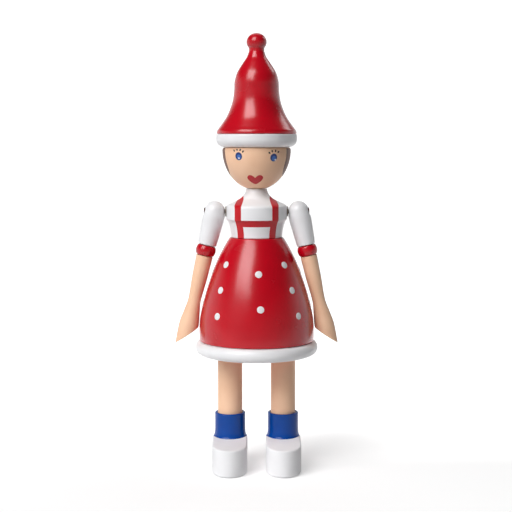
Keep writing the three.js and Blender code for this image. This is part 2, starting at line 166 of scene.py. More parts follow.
def smooth(points, pieces=10):
    """Smooth curve through points, with this many pieces between two of them."""
    last = len(points) - 1
    curve = []
    for i in range(last):
        before, start, end, after = points[max(i - 1, 0)], points[i], points[i + 1], points[min(i + 2, last)]
        for step in range(pieces):
            t = step / pieces
            spot = []
            for a, b, c, d in zip(before, start, end, after):
                leave, arrive = (c - a) / 2, (d - b) / 2
                cubic = 2 * b - 2 * c + leave + arrive
                square = 3 * c - 3 * b - 2 * leave - arrive
                spot.append(((cubic * t + square) * t + leave) * t + b)
            curve.append(tuple(spot))
    curve.append(tuple(points[last]))
    return curve


def outlined(shares, smaller, larger, bottom, top):
    """Smooth outline from shares, between two radii and two heights."""
    return smooth([(smaller + out * (larger - smaller), bottom + up * (top - bottom)) for out, up in shares])


def arc(radius, height, across, up, start, end, pieces=10):
    """Arc of an ellipse in an outline, angles in degrees from the outward direction."""
    angles = [math.radians(start + (end - start) * i / pieces) for i in range(pieces + 1)]
    return [(radius + across * math.cos(angle), height + up * math.sin(angle)) for angle in angles]


def turn_at(before, corner, after):
    """How far a line turns at a corner, in degrees."""
    arriving = Vector(corner) - Vector(before)
    leaving = Vector(after) - Vector(corner)
    if not arriving.length or not leaving.length:
        return 0
    return math.degrees(arriving.angle(leaving))


def eased(outline, reach, pieces=5):
    """The outline with its corners rounded, each rounding starting this far from its corner."""
    ways = [0]
    for start, end in zip(outline, outline[1:]):
        ways.append(ways[-1] + math.dist(start, end))

    def spot(way):
        i = min(max(bisect.bisect_right(ways, way) - 1, 0), len(ways) - 2)
        share = (way - ways[i]) / (ways[i + 1] - ways[i])
        return tuple(a + share * (b - a) for a, b in zip(outline[i], outline[i + 1]))

    corners = [i for i in range(1, len(outline) - 1) if turn_at(*outline[i - 1:i + 2]) > CORNER_TURN]
    stops = [0, *(ways[i] for i in corners), ways[-1]]
    made, done = [outline[0]], 0
    for place, i in enumerate(corners, 1):
        room = min(stops[place] - stops[place - 1], stops[place + 1] - stops[place])
        ease = min(reach, EASE_SHARE * room)
        lead = EASE_LEAD * ease
        made += [p for p, way in zip(outline, ways) if done < way < ways[i] - lead]
        start, end = spot(ways[i] - ease), spot(ways[i] + ease)
        made.append(spot(ways[i] - lead))
        for step in range(pieces + 1):
            t = step / pieces
            made.append(tuple(
                (1 - t) ** 2 * a + 2 * t * (1 - t) * b + t ** 2 * c
                for a, b, c in zip(start, outline[i], end)
            ))
        made.append(spot(ways[i] + lead))
        done = ways[i] + lead
    made += [p for p, way in zip(outline, ways) if way > done]
    return made


def mesh_piece(name, points, faces):
    """Smooth-shaded object from points in millimetres, with its hard edges kept."""
    mesh = bpy.data.meshes.new(name)
    mesh.from_pydata([Vector(point) * MM for point in points], [], faces)
    mesh.shade_smooth()
    mesh.set_sharp_from_angle(angle=HARD_EDGE)
    piece = bpy.data.objects.new(name, mesh)
    bpy.context.scene.collection.objects.link(piece)
    return piece


def lofted(name, rows):
    """Closed skin over rows of points that run round the piece, counter-clockwise from above.
    A row of one point closes an end. A last row equal to the first closes a ring."""
    wraps = rows[0] == rows[-1]
    rows = rows[:-1] if wraps else rows
    points, numbers = [], []
    for row in rows:
        numbers.append(range(len(points), len(points) + len(row)))
        points += row
    faces = []
    for lower, upper in zip(numbers, [*numbers[1:], *(numbers[:1] if wraps else [])]):
        count = max(len(lower), len(upper))
        for i in range(count):
            after = (i + 1) % count
            if len(lower) == 1:
                faces.append((lower[0], upper[after], upper[i]))
            elif len(upper) == 1:
                faces.append((lower[i], lower[after], upper[0]))
            else:
                faces.append((lower[i], lower[after], upper[after], upper[i]))
    return mesh_piece(name, points, faces)


def turned_rows(outline, sides):
    """Rows of points round Z, one for each point of the outline. On the axis a row is one point."""
    rows = []
    for radius, height in outline:
        angles = [2 * math.pi * i / sides for i in range(sides if radius > 1e-6 else 1)]
        rows.append([(radius * math.cos(angle), radius * math.sin(angle), height) for angle in angles])
    return rows


def turned(name, outline, sides=BODY_FACES):
    """Piece turned about Z. The outline runs from its lower end up the outside."""
    return lofted(name, turned_rows(outline, sides))


def cross_bar(name, radius, start_x, end_x, height, edge=0):
    """Round bar along X between two places."""
    half = abs(end_x - start_x) / 2
    outline = [(0, -half), (radius, -half), (radius, half), (0, half)]
    bar = turned(name, eased(outline, edge) if edge else outline, SCREW_FACES)
    centre = Vector(((start_x + end_x) / 2, 0, height)) * MM
    bar.matrix_world = Matrix.Translation(centre) @ Matrix.Rotation(math.pi / 2, 4, "Y")
    return bar


def carved(piece, finish, cutters, inside):
    """Takes the cutters out of the piece and deletes them. The cut faces show another material."""
    piece.data.materials.append(finish)
    for cutter in cutters:
        cutter.data.materials.append(inside)
        cut = piece.modifiers.new("cut", "BOOLEAN")
        cut.operation = "DIFFERENCE"
        cut.solver = "EXACT"
        cut.material_mode = "TRANSFER"
        cut.object = cutter
    bpy.context.view_layer.update()
    mesh = bpy.data.meshes.new_from_object(piece.evaluated_get(bpy.context.evaluated_depsgraph_get()))
    piece.modifiers.clear()
    piece.data = mesh
    mesh.set_sharp_from_angle(angle=HARD_EDGE)
    for cutter in cutters:
        bpy.data.objects.remove(cutter)


def on_outline(outline, point):
    """Nearest spot on a turned surface to a point, and the direction straight out of it."""
    radius, height = math.hypot(point[X], point[Y]), point[Z]
    nearest = None
    for (r0, z0), (r1, z1) in zip(outline, outline[1:]):
        run, rise = r1 - r0, z1 - z0
        length = run * run + rise * rise
        if not length:
            continue
        share = min(max(((radius - r0) * run + (height - z0) * rise) / length, 0), 1)
        r, z = r0 + share * run, z0 + share * rise
        away = math.hypot(radius - r, height - z)
        if nearest is None or away < nearest[0]:
            nearest = (away, r, z, rise, -run)
    away, r, z, out, up = nearest
    across, along = point[X] / radius, point[Y] / radius
    normal = Vector((across * out, along * out, up)).normalized()
    return Vector((r * across, r * along, z)), normal


def spot_at(outline, azimuth, height):
    """Spot on a turned surface at an azimuth and a height."""
    angle = math.radians(azimuth)
    radius = min(outline, key=lambda point: abs(point[1] - height))[0]
    return on_outline(outline, (radius * math.sin(angle), -radius * math.cos(angle), height))


FILM_ROOT = 0.12  # a coat of paint reaches this far into the wood, so no air shows under it
FILM_EDGE_LOSS, FILM_EDGE_POWER = 0.8, 6  # how much a strip thins out at its edges, and how suddenly
DAB_POWER = 4  # how suddenly a dab rises from its rim


def film(name, outline, path, width, thickness, across_pieces=10):
    """Strip of paint along a path on a turned surface. It thins out at its long edges."""
    tops, roots = [], []
    last = len(path) - 1
    for i, centre in enumerate(path):
        spot, normal = on_outline(outline, centre)
        ahead = Vector(path[min(i + 1, last)]) - Vector(path[max(i - 1, 0)])
        across = ahead.cross(normal).normalized()
        top, root = [], []
        for j in range(across_pieces + 1):
            share = 2 * j / across_pieces - 1
            under, out = on_outline(outline, spot + across * (share * width / 2))
            top.append(under + out * thickness * (1 - FILM_EDGE_LOSS * share ** FILM_EDGE_POWER))
            root.append(under - out * FILM_ROOT)
        tops.append(top)
        roots.append(root)
    return lofted(name, film_rows(tops, roots))


def film_rows(tops, roots):
    """Rows round a strip of paint: its top, then back along its root, closed at both ends."""
    rows = [top + root[::-1] for top, root in zip(tops, roots)]
    ends = [sum((Vector(point) for point in row), Vector()) / len(row) for row in (rows[0], rows[-1])]
    return [[ends[0]], *rows, [ends[1]]]


def dab(name, outline, azimuth, height, rim, crown, rim_lift=0.03, rings=5):
    """Spot of paint on a turned surface. The rim is given as distances across and up from one place."""
    centre, normal = spot_at(outline, azimuth, height)
    across = Vector((math.cos(math.radians(azimuth)), math.sin(math.radians(azimuth)), 0))
    up = normal.cross(across)
    edge = [centre + across * a + up * b for a, b in rim]
    middle = sum(edge, Vector()) / len(edge)
    rows = []
    for step in range(rings + 1):
        share = step / rings
        lift = rim_lift + (crown - rim_lift) * (1 - (1 - share) ** DAB_POWER)
        row = []
        for point in (edge if step < rings else edge[:1]):
            under, out = on_outline(outline, point.lerp(middle, share))
            row.append(under + out * lift)
        rows.append(row)
    roots = [on_outline(outline, point) for point in edge]
    rows.insert(0, [under - out * FILM_ROOT for under, out in roots])
    under, out = on_outline(outline, middle)
    rows.insert(0, [under - out * FILM_ROOT])
    return lofted(name, rows)


def linear(colour):
    """sRGB hex colour as linear red, green, blue and alpha."""
    parts = [int(colour[i:i + 2], 16) / 255 for i in (1, 3, 5)]
    return (*(c / 12.92 if c <= 0.04045 else ((c + 0.055) / 1.055) ** 2.4 for c in parts), 1)


def add_node(tree, kind, inputs=(), **settings):
    """Adds a node, with its settings and with values or links for its inputs."""
    made = tree.nodes.new(kind)
    for key, value in settings.items():
        setattr(made, key, value)
    for key, value in dict(inputs).items():
        if isinstance(value, bpy.types.NodeSocket):
            tree.links.new(value, made.inputs[key])
        else:
            made.inputs[key].default_value = value
    return made


MIX_FACTOR, MIX_A, MIX_B, MIX_RESULT = 0, 6, 7, 2  # sockets of a colour mix
WAVE_PERIOD = math.pi / 10  # length of one band at scale 1


def new_material(name):
    material = bpy.data.materials.new(name)
    material.use_nodes = True
    material.node_tree.nodes.clear()
    return material, material.node_tree


PAINT_IOR = 1.5
CLOUD_SIZE, PEEL_SIZE = 11, 0.9
RING_SPACING = 1.1  # finer on the real wood, and drawn coarse enough to show
CLOUD_RANGE = {"From Min": 0.3, "From Max": 0.7}  # where most of the noise lies
GLOSS_SPREAD = 0.03


def painted(
    name, colour, deep, *, roughness, peel_height, ring_height=0, coat=0, coat_roughness=0.3, shine=0.5,
):
    """Paint on turned beech. Spray leaves soft clouds of colour and a fine orange peel, and the rings of
    the turning tool still show faintly under it. Heights are in millimetres."""
    material, tree = new_material(name)
    place = add_node(tree, "ShaderNodeTexCoord").outputs["Object"]
    cloud = add_node(tree, "ShaderNodeTexNoise", {
        "Vector": place, "Scale": 1 / (CLOUD_SIZE * MM), "Detail": 3,
    })
    peel = add_node(tree, "ShaderNodeTexNoise", {
        "Vector": place, "Scale": 1 / (PEEL_SIZE * MM), "Detail": 2,
    })
    rings = add_node(tree, "ShaderNodeTexWave", {
        "Vector": place, "Scale": WAVE_PERIOD / (RING_SPACING * MM),
        "Distortion": 1.5, "Detail": 2, "Detail Scale": 0.4,
    }, bands_direction="Z")
    tint = add_node(tree, "ShaderNodeMapRange", {"Value": cloud.outputs["Fac"], **CLOUD_RANGE})
    colours = add_node(tree, "ShaderNodeMix", {
        MIX_FACTOR: tint.outputs["Result"], MIX_A: linear(colour), MIX_B: linear(deep),
    }, data_type="RGBA")
    gloss = add_node(tree, "ShaderNodeMapRange", {
        "Value": cloud.outputs["Fac"], **CLOUD_RANGE,
        "To Min": roughness - GLOSS_SPREAD, "To Max": roughness + GLOSS_SPREAD,
    })
    peel_mm = add_node(tree, "ShaderNodeMath", {0: peel.outputs["Fac"], 1: peel_height}, operation="MULTIPLY")
    height = add_node(tree, "ShaderNodeMath", {
        0: rings.outputs["Fac"], 1: ring_height, 2: peel_mm.outputs[0],
    }, operation="MULTIPLY_ADD")
    bump = add_node(tree, "ShaderNodeBump", {"Height": height.outputs[0], "Strength": 1, "Distance": MM})
    shader = add_node(tree, "ShaderNodeBsdfPrincipled", {
        "Base Color": colours.outputs[MIX_RESULT], "Roughness": gloss.outputs["Result"],
        "Normal": bump.outputs["Normal"], "IOR": PAINT_IOR, "Specular IOR Level": shine,
        "Coat Weight": coat, "Coat Roughness": coat_roughness, "Coat IOR": PAINT_IOR,
        "Coat Normal": bump.outputs["Normal"],
    })
    add_node(tree, "ShaderNodeOutputMaterial", {"Surface": shader.outputs["BSDF"]})
    return material


# Gloss enamel under clear lacquer: deep saturated red with wide soft-edged highlights
red_enamel = painted(
    "red_gloss_enamel_sprayed", "#c6001a", "#be0019", roughness=0.25, peel_height=0.008, ring_height=0.0005,
    coat=0.3, coat_roughness=0.2, shine=0.4,
)
# Satin enamel: clean cool white with only a soft sheen
white_enamel = painted(
    "white_satin_enamel_sprayed", "#f6f6f8", "#f0f0f2", roughness=0.34, peel_height=0.014, ring_height=0.0008,
    coat=0.18,
)
# The same white flatted down for the shoes: no mirror, so that their tops stay white at a low angle
shoe_enamel = painted(
    "white_matt_enamel_sprayed", "#f8f8fa", "#f3f3f5", roughness=0.6, peel_height=0.014, ring_height=0.0008,
    shine=0.2,
)
# Satin paint: warm skin tone, nearly matt, with the turning rings just visible
skin_enamel = painted(
    "skin_satin_enamel_sprayed", "#fed2b0", "#f9caa6", roughness=0.48, peel_height=0.014, ring_height=0.0012,
)
# Satin enamel under a thin clear coat: strong blue with a soft body and a small sharp glint
blue_enamel = painted(
    "blue_satin_enamel_sprayed", "#00469d", "#003f92", roughness=0.45, peel_height=0.004, ring_height=0.0005,
    coat=0.4, coat_roughness=0.1, shine=0.08,
)
# Brush-thick satin red of the braces, a little warmer and duller than the sprayed red
brace_paint = painted(
    "brace_red_satin_paint", "#c9101f", "#c00c1b", roughness=0.32, peel_height=0.012, shine=0.4,
)
# Thin brown paint, dull, for the hair
hair_paint = painted(
    "hair_brown_satin_paint", "#7d594c", "#6f4d42", roughness=0.5, peel_height=0.014, ring_height=0.0015,
)
# Printing paint of the small marks, satin
dot_paint = painted("dot_white_satin_paint", "#f0f0f2", "#e9e9eb", roughness=0.4, peel_height=0.01)
mouth_paint = painted("mouth_red_satin_paint", "#c8222b", "#be1d26", roughness=0.45, peel_height=0.008)
navy_paint = painted("eye_navy_satin_paint", "#1d3a78", "#17306a", roughness=0.35, peel_height=0.004)
iris_paint = painted("eye_blue_satin_paint", "#3f6fc0", "#3765b4", roughness=0.35, peel_height=0.004)
lash_paint = painted("lash_brown_satin_paint", "#2a1213", "#231010", roughness=0.45, peel_height=0.004)

FIBRE_SIZE, FIBRE_DEPTH = 0.25, 0.12  # finer in real felt, and drawn coarse enough to show
OXIDE_SIZE, OXIDE_DEPTH = 0.7, 0.02
GRAIN_WIDTH, GRAIN_LENGTH, GRAIN_DEPTH = 0.5, 4, 0.03


def felt():
    """Pressed wool felt: matt grey-brown, with the tangle of fibres showing as fine flecks."""
    material, tree = new_material("pressed_wool_felt")
    place = add_node(tree, "ShaderNodeTexCoord").outputs["Object"]
    fibres = add_node(tree, "ShaderNodeTexNoise", {
        "Vector": place, "Scale": 1 / (FIBRE_SIZE * MM), "Detail": 5,
    })
    colours = add_node(tree, "ShaderNodeMix", {
        MIX_FACTOR: fibres.outputs["Fac"], MIX_A: linear("#5d544d"), MIX_B: linear("#9a8f84"),
    }, data_type="RGBA")
    bump = add_node(tree, "ShaderNodeBump", {"Height": fibres.outputs["Fac"], "Distance": FIBRE_DEPTH * MM})
    shader = add_node(tree, "ShaderNodeBsdfPrincipled", {
        "Base Color": colours.outputs[MIX_RESULT], "Roughness": 0.95, "Normal": bump.outputs["Normal"],
        "Sheen Weight": 0.4, "Sheen Roughness": 0.6,
    })
    add_node(tree, "ShaderNodeOutputMaterial", {"Surface": shader.outputs["BSDF"]})
    return material


def dark_steel_and_recess_shade():
    """Steel browned in a hot bath: a dark brown oxide skin, cloudy, that still shines like metal. Its dark
    brown is also painted shade, standing for the shaded recess round the screw head in the sleeve.
    """
    material, tree = new_material("dark_steel_and_recess_shade")
    place = add_node(tree, "ShaderNodeTexCoord").outputs["Object"]
    clouds = add_node(tree, "ShaderNodeTexNoise", {
        "Vector": place, "Scale": 1 / (OXIDE_SIZE * MM), "Detail": 4,
    })
    colours = add_node(tree, "ShaderNodeMix", {
        MIX_FACTOR: clouds.outputs["Fac"], MIX_A: linear("#3d2620"), MIX_B: linear("#5a3b32"),
    }, data_type="RGBA")
    gloss = add_node(tree, "ShaderNodeMapRange", {
        "Value": clouds.outputs["Fac"], "To Min": 0.35, "To Max": 0.6,
    })
    bump = add_node(tree, "ShaderNodeBump", {"Height": clouds.outputs["Fac"], "Distance": OXIDE_DEPTH * MM})
    shader = add_node(tree, "ShaderNodeBsdfPrincipled", {
        "Base Color": colours.outputs[MIX_RESULT], "Metallic": 0.6, "Roughness": gloss.outputs["Result"],
        "Normal": bump.outputs["Normal"],
    })
    add_node(tree, "ShaderNodeOutputMaterial", {"Surface": shader.outputs["BSDF"]})
    return material


def beech():
    """Bare turned beech: pale pink-brown, with short dark flecks along the grain."""
    material, tree = new_material("bare_turned_beech")
    place = add_node(tree, "ShaderNodeTexCoord").outputs["Object"]
    grain_place = add_node(tree, "ShaderNodeMapping", {
        "Vector": place,
        "Scale": (1 / (GRAIN_WIDTH * MM), 1 / (GRAIN_WIDTH * MM), 1 / (GRAIN_LENGTH * MM)),
    })
    grain = add_node(tree, "ShaderNodeTexNoise", {
        "Vector": grain_place.outputs["Vector"], "Scale": 1, "Detail": 4,
    })
    colours = add_node(tree, "ShaderNodeMix", {
        MIX_FACTOR: grain.outputs["Fac"], MIX_A: linear("#b98f63"), MIX_B: linear("#e3c79f"),
    }, data_type="RGBA")
    bump = add_node(tree, "ShaderNodeBump", {"Height": grain.outputs["Fac"], "Distance": GRAIN_DEPTH * MM})
    shader = add_node(tree, "ShaderNodeBsdfPrincipled", {
        "Base Color": colours.outputs[MIX_RESULT], "Roughness": 0.65, "Normal": bump.outputs["Normal"],
    })
    add_node(tree, "ShaderNodeOutputMaterial", {"Surface": shader.outputs["BSDF"]})
    return material


wool_felt = felt()
# the screws' dark brown is partly painted shade for the recess in each sleeve
screw_steel = dark_steel_and_recess_shade()
bare_beech = beech()


def dress(piece, finish, slot, body, *nodes):
    """Gives a piece its finish, the body that carries it and the CAD nodes it stands for."""
    if not piece.data.materials:
        piece.data.materials.append(finish)
    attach(piece, body)
    if nodes:
        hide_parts(*nodes)


# Head and hat

def make_hat():
    neck = HAT_TOP - BOBBLE_HEIGHT
    start = -math.degrees(math.acos(HAT_NECK_RADIUS / BOBBLE_RADIUS))
    bore_top = HAT_BOTTOM + HAT_BORE_DEPTH
    outline = [
        (0, bore_top), (HAT_BORE, bore_top), (HAT_BORE, HAT_BOTTOM),
        *outlined(HAT_OUTLINE, HAT_NECK_RADIUS, HAT_RADIUS, HAT_BOTTOM, neck),
        *arc(0, HAT_TOP - BOBBLE_RISE, BOBBLE_RADIUS, BOBBLE_RISE, start, 90, 24)[:-1], (0, HAT_TOP),
    ]
    dress(turned("hat_painted", eased(outline, EASE["hat"])), red_enamel, "red_lacquer", "head", "hat")


def make_brim():
    lower = BRIM_LOWER_EDGE
    outline = [
        (HAT_BORE, BRIM_BOTTOM),
        *arc(BRIM_RADIUS - lower, BRIM_BOTTOM + lower, lower, lower, -90, 0, 14),
        (BRIM_RADIUS, BRIM_TOP), (HAT_BORE, BRIM_TOP), (HAT_BORE, BRIM_BOTTOM),
    ]
    brim = turned("hat_brim_painted", eased(outline, EASE["brim"]))
    dress(brim, white_enamel, "white_lacquer", "head", "hat_brim")


def head_outline():
    widest = HEAD_TOP - HEAD_EDGE
    bowl_depth = (widest - HEAD_BOTTOM) / math.sqrt(1 - (NECK_RADIUS / HEAD_RADIUS) ** 2)
    lowest = -math.degrees(math.acos(NECK_RADIUS / HEAD_RADIUS))
    neck_bore_top = HEAD_BOTTOM + NECK_BORE_IN_HEAD
    hat_bore_floor = HEAD_TOP - HEAD_BORE_DEPTH
    outline = [
        (0, neck_bore_top), (NECK_BORE, neck_bore_top), (NECK_BORE, HEAD_BOTTOM),
        *arc(0, widest, HEAD_RADIUS, bowl_depth, lowest, 0, 40),
        *arc(HEAD_RADIUS - HEAD_EDGE, widest, HEAD_EDGE, HEAD_EDGE, 0, 90, 8)[1:],
        (HAT_BORE, HEAD_TOP), (HAT_BORE, hat_bore_floor), (0, hat_bore_floor),
    ]
    return eased(outline, EASE["head"])


def torso_outline():
    waist_bore_top = TORSO_BOTTOM + WAIST_BORE_IN_TORSO
    neck_bore_floor = TORSO_TOP - NECK_BORE_IN_TORSO
    outline = [
        (0, waist_bore_top), (WAIST_BORE, waist_bore_top), (WAIST_BORE, TORSO_BOTTOM),
        *outlined(TAPER_OUTLINE, WAIST_RADIUS, CHEST_RADIUS, TORSO_BOTTOM, BAND_LOWER),
        *outlined(SHOULDER_OUTLINE, NECK_RADIUS, CHEST_RADIUS, BAND_UPPER, TORSO_TOP),
        (NECK_BORE, TORSO_TOP), (NECK_BORE, neck_bore_floor), (0, neck_bore_floor),
    ]
    return eased(outline, EASE["torso"])


def skirt_outline():
    bore_floor = SKIRT_TOP - WAIST_BORE_IN_SKIRT
    spigot = HEM_BORE - FIT
    outline = [
        (0, SKIRT_UNDERSIDE), (spigot, SKIRT_UNDERSIDE), (spigot, SKIRT_BOTTOM),
        *outlined(SKIRT_OUTLINE, SKIRT_TOP_RADIUS, SKIRT_RADIUS, SKIRT_BOTTOM, SKIRT_TOP),
        (WAIST_BORE, SKIRT_TOP), (WAIST_BORE, bore_floor), (0, bore_floor),
    ]
    return eased(outline, EASE["skirt"])


def outside(outline, bore, bottom):
    """The part of an outline that shows: outside its bores and above its lower end."""
    return [(radius, height) for radius, height in outline if radius > bore + FIT and height >= bottom]


# What shows of the turned outlines, for the paint on them
HEAD = outside(head_outline(), HAT_BORE, HEAD_BOTTOM)
TORSO = outside(torso_outline(), WAIST_BORE, TORSO_BOTTOM)
SKIRT = outside(skirt_outline(), WAIST_BORE, SKIRT_BOTTOM)

HAIRLINE = 63.2  # azimuth of the hair's front edges from the middle of the face
FACE_TURN = -3.2  # azimuth of the middle of the face
HAIR_CORNER_HEIGHT, HAIR_LOW_HEIGHT = 140, 135
HAIR_TOP = HEAD_TOP - 0.35
HAIR_FILM, HAIR_FILM_EDGE = 0.05, 0.015


def make_hair():
    """Painted bob round the back of the head, its lower front corners rounded."""
    tops, roots = [], []
    columns, rows = 150, 30
    for i in range(columns + 1):
        azimuth = HAIRLINE + (360 - 2 * HAIRLINE) * i / columns
        from_corner = max(min(azimuth, 360 - azimuth) - HAIRLINE, 0)
        share = min(from_corner / (90 - HAIRLINE), 1)
        drop = HAIR_CORNER_HEIGHT - HAIR_LOW_HEIGHT
        lowest = HAIR_CORNER_HEIGHT - drop * math.sqrt(1 - (1 - share) ** 2)
        top, root = [], []
        for j in range(rows + 1):
            under, out = spot_at(HEAD, azimuth + FACE_TURN, lowest + (HAIR_TOP - lowest) * j / rows)
            thickness = HAIR_FILM if 0 < j < rows and 0 < i < columns else HAIR_FILM_EDGE
            top.append(under + out * thickness)
            root.append(under - out * FILM_ROOT)
        tops.append(top[::-1])
        roots.append(root[::-1])
    dress(lofted("hair_paint", film_rows(tops, roots)), hair_paint, "skin_lacquer", "head")


def oval(width, height, count=40, tilt=0, middle=(0, 0)):
    """Rim of an oval dab, tilted by an angle and set off from the middle."""
    rim = []
    for i in range(count):
        angle = 2 * math.pi * i / count
        a, b = width / 2 * math.cos(angle), height / 2 * math.sin(angle)
        rim.append((
            middle[0] + a * math.cos(tilt) - b * math.sin(tilt),
            middle[1] + a * math.sin(tilt) + b * math.cos(tilt),
        ))
    return rim


EYES = {"left": (30, 143.8), "right": (-31.4, 144.4)}  # azimuth and height
GLINTS = {"left": (0.85, -1.0), "right": (0.15, -0.85)}  # across and up from the eye's middle
LASHES = ((2.4, 2.5), (0.78, 3.0), (-0.95, 2.88), (-2.3, 2.1))  # outward and up from the eye's middle
EYE_SIZE, IRIS_SIZE, GLINT_SIZE, LASH_SIZE = (3.5, 3.6), (2.3, 2.5), (1, 0.85), (0.75, 1.2)
IRIS_MIDDLE = (0.1, -0.3)
EYE_FILM, IRIS_FILM, GLINT_FILM, THIN_FILM = 0.06, 0.1, 0.15, 0.05
MOUTH_AZIMUTH, MOUTH_HEIGHT = -3.3, 133.75
MOUTH_HALF = (
    (0, 1.1), (0.7, 1.95), (1.9, 2.65), (3.1, 2.3), (3.7, 1.05), (2.95, -0.55), (1.4, -2.15), (0.2, -3),
)


def make_face():
    for side, (azimuth, height) in EYES.items():
        marks = (
            (f"eye_{side}", navy_paint, oval(*EYE_SIZE), EYE_FILM),
            (f"iris_{side}", iris_paint, oval(*IRIS_SIZE, middle=IRIS_MIDDLE), IRIS_FILM),
            (f"glint_{side}", dot_paint, oval(*GLINT_SIZE, middle=GLINTS[side]), GLINT_FILM),
        )
        for name, paint, rim, crown in marks:
            dress(dab(name, HEAD, azimuth, height, rim, crown), paint, "blue_lacquer", "head")
        for number, (away, up) in enumerate(LASHES, 1):
            across = SIDES[side] * away
            stroke = oval(*LASH_SIZE, 16, -math.atan2(across, up), (across, up))
            lash = dab(f"lash_{side}_{number}", HEAD, azimuth, height, stroke, THIN_FILM)
            dress(lash, lash_paint, "skin_lacquer", "head")
    half = smooth(MOUTH_HALF, 8)
    heart = half[::-1] + [(-a, b) for a, b in half[1:]]
    mouth = dab("mouth", HEAD, MOUTH_AZIMUTH, MOUTH_HEIGHT, heart, THIN_FILM)
    dress(mouth, mouth_paint, "red_lacquer", "head")


def make_head():
    dress(turned("head_painted", head_outline()), skin_enamel, "skin_lacquer", "head", "head")
    make_hair()
    make_face()


# Torso with its painted braces

STRAP_AZIMUTH = 37.6
STRAP_WIDTH = 3.7
STRAP_TOP_X = 7.4  # how far out the strap crosses the ridge of the shoulder
STRAP_STEP = 0.5
CROSSBAR_HEIGHT = 114
CROSSBAR_WIDTH = 3.3
STRAP_FILM, CROSSBAR_FILM = 0.07, 0.05


def strap_path(side):
    """Middle of a brace: up the front at one azimuth, straight back over the shoulder and down behind."""
    angle = math.radians(STRAP_AZIMUTH)
    lean = (CHEST_RADIUS * math.sin(angle) - STRAP_TOP_X) / (CHEST_RADIUS - STRAP_TOP_X)
    front = []
    for radius, height in TORSO:
        if radius < STRAP_TOP_X:
            continue
        x = radius * math.sin(angle)
        if height > BAND_UPPER:
            x = STRAP_TOP_X + lean * (radius - STRAP_TOP_X)
        front.append(Vector((side * x, -math.sqrt(max(radius ** 2 - x ** 2, 0)), height)))
    over = front + [Vector((spot.x, -spot.y, spot.z)) for spot in reversed(front)]
    path = over[:1]
    for start, end in zip(over, over[1:]):
        pieces = math.ceil((end - start).length / STRAP_STEP)
        path += [start.lerp(end, step / pieces) for step in range(1, pieces + 1)]
    return path


def make_torso():
    torso = turned("torso_painted", torso_outline())
    cutters = []
    for side in SIDES.values():
        cutters.append(cross_bar(
            "face_cut", TORSO_FACE_RADIUS, side * WASHER_INNER_X, side * PIVOT_X, PIVOT_Z,
        ))
        cutters.append(cross_bar(
            "screw_cut", SCREW_RADIUS + FIT, side * (SCREW_TIP_X - BORE_ROOM), side * CHEST_RADIUS, PIVOT_Z,
        ))
    carved(torso, white_enamel, cutters, bare_beech)
    dress(torso, white_enamel, "white_lacquer", "body", "torso")
    for name, side in SIDES.items():
        strap = film(f"brace_{name}", TORSO, strap_path(side), STRAP_WIDTH, STRAP_FILM)
        dress(strap, brace_paint, "red_lacquer", "body")
    steps = 24
    azimuths = [STRAP_AZIMUTH * (2 * step / steps - 1) for step in range(steps + 1)]
    path = [spot_at(TORSO, azimuth, CROSSBAR_HEIGHT)[0] for azimuth in azimuths]
    crossbar = film("brace_crossbar", TORSO, path, CROSSBAR_WIDTH, CROSSBAR_FILM)
    dress(crossbar, brace_paint, "red_lacquer", "body")


# Skirt with its painted dots, and the hem ring

DOT_SIZE, DOT_FILM = 3.2, 0.14
DOT_COLUMNS = (3.3, 45, 92, 135, 183, 225, 271, 314)  # azimuths, uneven as hand-set dots are
DOT_ROWS = ((91.8, 76.6), (95.5, 84.2, 72.75))
DOT_LEANS = (0.1, 0.21)  # degrees that a column of dots leans for each millimetre down
DOT_MIDDLE = 84.2


def make_skirt():
    skirt = turned("skirt_painted", skirt_outline())
    sockets = []
    for side in SIDES.values():
        top = SKIRT_UNDERSIDE + SOCKET_IN_SKIRT
        outline = [(0, HEM_BOTTOM), (LEG_RADIUS + FIT, HEM_BOTTOM), (LEG_RADIUS + FIT, top), (0, top)]
        socket = turned("socket_cut", outline, LIMB_FACES)
        socket.location.x = side * LEG_X * MM
        sockets.append(socket)
    carved(skirt, red_enamel, sockets, bare_beech)
    dress(skirt, red_enamel, "red_lacquer", "body", "skirt")
    for column, middle in enumerate(DOT_COLUMNS):
        kind = column % 2
        for row, height in enumerate(DOT_ROWS[kind], 1):
            azimuth = middle + DOT_LEANS[kind] * (DOT_MIDDLE - height)
            rim = oval(DOT_SIZE, DOT_SIZE)
            dot = dab(f"dot_{column + 1}_{row}", SKIRT, azimuth, height, rim, DOT_FILM)
            dress(dot, dot_paint, "white_lacquer", "body")


def make_hem():
    edge = (HEM_TOP - HEM_BOTTOM) / 2
    outline = [
        (HEM_BORE, HEM_BOTTOM),
        *arc(HEM_RADIUS - edge, HEM_BOTTOM + edge, edge, edge, -90, 90, 30),
        (HEM_BORE, HEM_TOP), (HEM_BORE, HEM_BOTTOM),
    ]
    dress(turned("hem_ring_painted", outline), white_enamel, "white_lacquer", "body", "hem_ring")


# Legs, socks and shoes

SOLE_EDGE, SHOE_TOP_EDGE = 1.5, 0.8
SOCK_ROOM = 0.06  # round the foot of the sock where it is let into the shoe
HEEL_FACES, TOE_FACES = 48, 64


def shoe_row(inset, height):
    """Outline of the shoe, this far in from its widest, at a height that falls towards the toe."""
    half = SHOE_WIDTH / 2 - inset
    rim = []
    for step in range(HEEL_FACES):
        angle = math.pi * step / HEEL_FACES
        rim.append((half * math.cos(angle), half * math.sin(angle)))
    for step in range(TOE_FACES + 1):
        angle = math.pi + math.pi * step / TOE_FACES
        rim.append((half * math.cos(angle), -TOE_STRAIGHT + (TOE_DEPTH - inset) * math.sin(angle)))
    fall = (1 - TOE_HEIGHT / SHOE_HEIGHT) / (TOE_STRAIGHT + TOE_DEPTH)
    return [(x, y, height * (1 + fall * y)) for x, y in rim]


